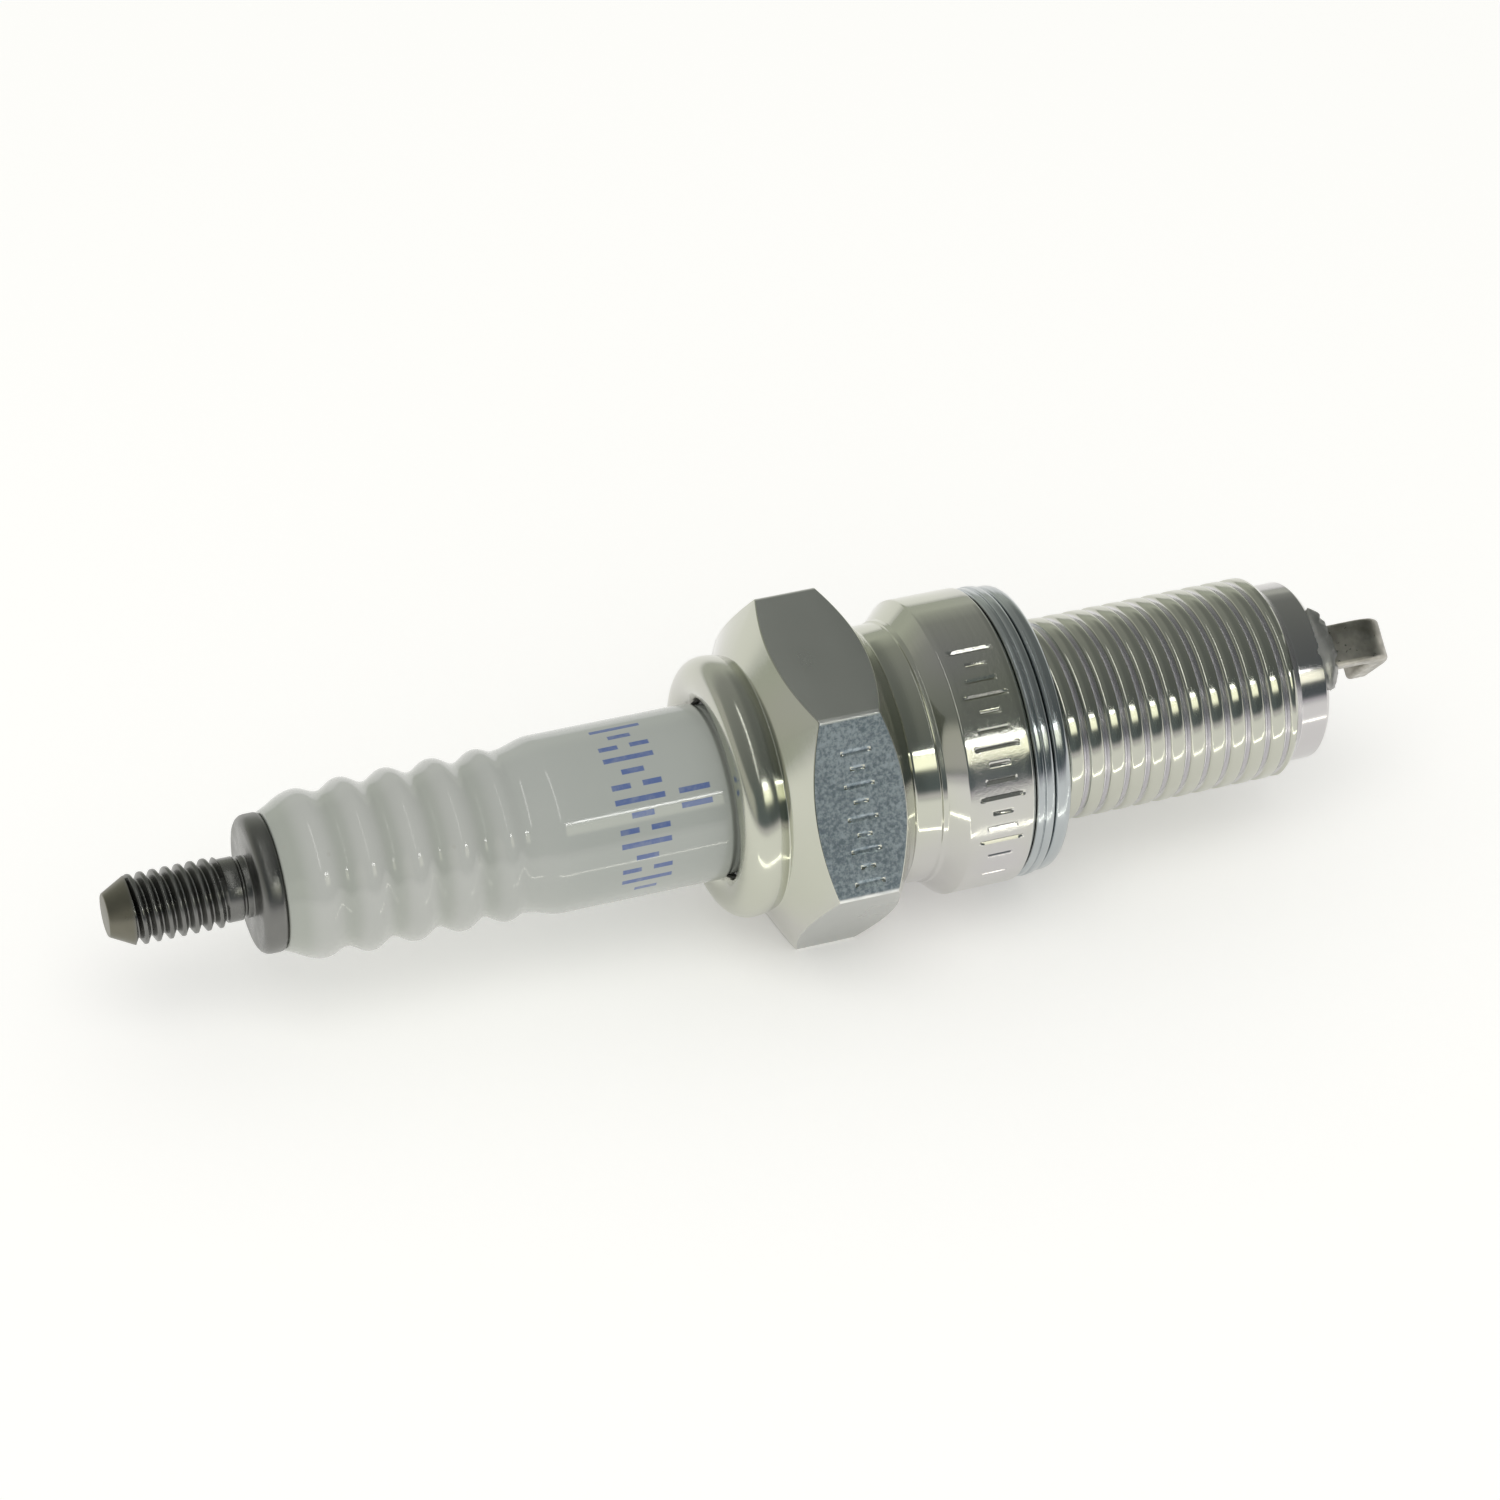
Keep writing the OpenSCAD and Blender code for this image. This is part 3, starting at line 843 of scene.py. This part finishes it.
def paint_inner_nodes():
    """The CAD nodes that stay as they are get a finish of their own."""
    packing = plain_inner(
        "packing_steel", rgb(0.30, 0.30, 0.30), rgb(0.50, 0.50, 0.51), 1.0, 0.38, 500, 0.2
    )
    seal = plain_inner(
        "seal_glass", rgb(0.04, 0.05, 0.05), rgb(0.16, 0.17, 0.16), 0.0, 0.25, 700, 0.2
    )
    finishes = {
        "centre_electrode": electrode_nickel(),
        "electrode_copper_core": plain_inner(
            "core_copper", rgb(0.70, 0.33, 0.20), rgb(0.85, 0.48, 0.32), 1.0, 0.3, 400, 0.15
        ),
        "resistor": plain_inner(
            "resistor_carbon", rgb(0.02, 0.02, 0.02), rgb(0.09, 0.09, 0.09), 0.0, 0.7, 900, 0.5
        ),
        "talc_seal": plain_inner(
            "pressed_talc", rgb(0.62, 0.60, 0.55), rgb(0.80, 0.79, 0.75), 0.0, 0.85, 800, 0.6
        ),
        "upper_glass_seal": seal,
        "lower_glass_seal": seal,
        "upper_packing_ring": packing,
        "lower_packing_ring": packing,
        "seat_washer": packing,
    }
    for node, material in finishes.items():
        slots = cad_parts[node].data.materials
        slots.clear()
        slots.append(material)


# ---------------------------------------------------------------- stage, light and camera


FLOOR_Z = SHELL_LOW.z * MM


def make_floor():
    mesh = bpy.data.meshes.new("floor")
    half, z = 1.4, FLOOR_Z
    corners = [(-half, -half, z), (half, -half, z), (half, half, z), (-half, half, z)]
    mesh.from_pydata(corners, [], [(0, 1, 2, 3)])
    floor = bpy.data.objects.new("floor", mesh)
    bpy.context.scene.collection.objects.link(floor)
    p = Paint("floor_paint", Roughness=0.9)
    distance = p.node("VectorMath", {0: p.place}, operation="LENGTH").outputs["Value"]
    # Beyond 0.11 m the floor is painted darker and glows less: a painted falloff of light that the
    # shiny parts see in reflection. The floor's glow also lightens the plug's shadow on it.
    painted_falloff = p.remap(distance, 0.11, 0.42, 0.0, 1.0)
    near = p.mix(p.noise(6, 2.0, 0.5), rgb(0.90, 0.895, 0.875), rgb(0.92, 0.915, 0.90))
    p.link("Base Color", p.mix(painted_falloff, near, rgb(0.74, 0.745, 0.725)))
    p.link("Emission Color", p.mix(painted_falloff, rgb(1.0, 0.99, 0.96), rgb(0.8, 0.8, 0.78)))
    p.shader.inputs["Specular IOR Level"].default_value = 0.0
    p.shader.inputs["Emission Strength"].default_value = 0.26
    mesh.materials.append(p.material)


def make_world():
    """White all round. Shiny surfaces see a studio instead: a dark ceiling, a window with a
    bright tube, a glow on the left and a slot of light near the crimp."""
    world = bpy.data.worlds.new("studio")
    bpy.context.scene.world = world
    world.use_nodes = True
    tree = world.node_tree
    tree.nodes.clear()

    class Sky(Paint):
        def __init__(self):
            self.tree = tree
            self.place = tree.nodes.new("ShaderNodeTexCoord").outputs["Generated"]

    p = Sky()
    x, y, z = p.axes(p.place)
    turn = p.turn(y, z)
    room = p.ramp(
        turn,
        [
            (-90, rgb(0.52, 0.54, 0.48)),
            (-78, rgb(0.56, 0.58, 0.51)),
            (-58, rgb(0.34, 0.35, 0.32)),
            (-20, rgb(0.27, 0.28, 0.26)),
            (30, rgb(0.19, 0.20, 0.19)),
            (60, rgb(0.15, 0.17, 0.17)),
            (83, rgb(0.12, 0.145, 0.155)),
            (88, rgb(0.75, 0.72, 0.74)),
        ],
    )
    dim = p.math("MULTIPLY", p.remap(x, 0.30, 0.38, 0.0, 0.4), p.band(turn, -75, 86, 8))
    room = p.mix(dim, room, rgb(0.05, 0.06, 0.06))
    window = p.math("MULTIPLY", p.band(x, 0.12, 0.5, 0.1), p.band(turn, 51, 64, 5))
    room = p.mix(window, room, rgb(1.75, 1.75, 1.4))
    left = p.math("MULTIPLY", p.remap(x, -0.75, -0.5, 1.0, 0.0), p.band(z, 0.08, 0.42, 0.1))
    room = p.mix(left, room, rgb(0.55, 0.55, 0.5))
    tube = p.math("MULTIPLY", p.band(x, 0.14, 0.42, 0.05), p.band(turn, 48.3, 49.7, 0.3))
    room = p.mix(tube, room, rgb(15.0, 15.0, 14.6))
    slot = p.math("MULTIPLY", p.band(x, -0.055, -0.01, 0.02), p.band(turn, -24, 42, 10))
    room = p.mix(slot, room, rgb(3.2, 3.2, 3.1))

    path = tree.nodes.new("ShaderNodeLightPath").outputs
    light = p.mix(path["Is Glossy Ray"], rgb(0.62, 0.625, 0.62), room)
    light = p.mix(path["Is Camera Ray"], light, rgb(1.0, 1.0, 0.995))
    background = p.node("Background", {"Color": light, "Strength": 1.0})
    out = p.node("OutputWorld")
    tree.links.new(background.outputs[0], out.inputs["Surface"])


def area_lamp(name, size, energy, color, location, aim):
    lamp = bpy.data.lights.new(name, "AREA")
    lamp.shape = "RECTANGLE"
    lamp.size, lamp.size_y = size
    lamp.energy = energy
    lamp.color = color
    piece = bpy.data.objects.new(name, lamp)
    bpy.context.scene.collection.objects.link(piece)
    piece.location = location
    piece.rotation_euler = (Vector(aim) - piece.location).to_track_quat("-Z", "Y").to_euler()
    return piece


def make_lights():
    """One broad soft lamp overhead, a little in front, for gentle shape on the ceramic."""
    softbox = area_lamp(
        "softbox", (0.5, 0.35), 0.9, (1.0, 0.99, 0.96), (-0.10, -0.18, 0.55), (0, 0, 0)
    )
    softbox.visible_glossy = False


def make_strip():
    """A hair-thin lamp low in front: it only shows as the fine lines low on the bright surfaces."""
    place = (0.012, -0.0235, FLOOR_Z + 0.0004)
    strip = area_lamp(
        "strip", (0.09, 0.0004), 0.0007, (1.0, 0.98, 0.86), place, (0.012, 0, -0.003)
    )
    strip.visible_camera = False
    strip.visible_diffuse = False


def make_camera():
    """The photograph's viewing angle: from the terminal's side, well above, with a small roll."""
    azimuth, elevation, roll = math.radians(-23.3), math.radians(44.0), math.radians(5.04)
    aim, distance = Vector((-14.5, 4.4, -2.1)) * MM, 0.269
    back = Vector(
        (
            math.sin(azimuth) * math.cos(elevation),
            -math.cos(azimuth) * math.cos(elevation),
            math.sin(elevation),
        )
    )
    level = Vector((math.cos(azimuth), math.sin(azimuth), 0))
    upright = back.cross(level)
    right = level * math.cos(roll) + upright * math.sin(roll)
    up = back.cross(right)
    data = bpy.data.cameras.new("camera")
    data.lens, data.sensor_width = 112.5, 36
    data.clip_start, data.clip_end = 0.01, 10
    camera = bpy.data.objects.new("camera", data)
    bpy.context.scene.collection.objects.link(camera)
    camera.matrix_world = Matrix.Translation(aim + back * distance) @ Matrix(
        (right, up, back)
    ).transposed().to_4x4()
    bpy.context.scene.camera = camera


make_camera()
make_floor()
make_world()
make_lights()
make_strip()
make_shell()
make_insulator()
make_stud()
make_gasket()
make_ground_electrode()
make_ground_weld()
paint_inner_nodes()

bpy.context.scene.view_settings.view_transform = "Standard"
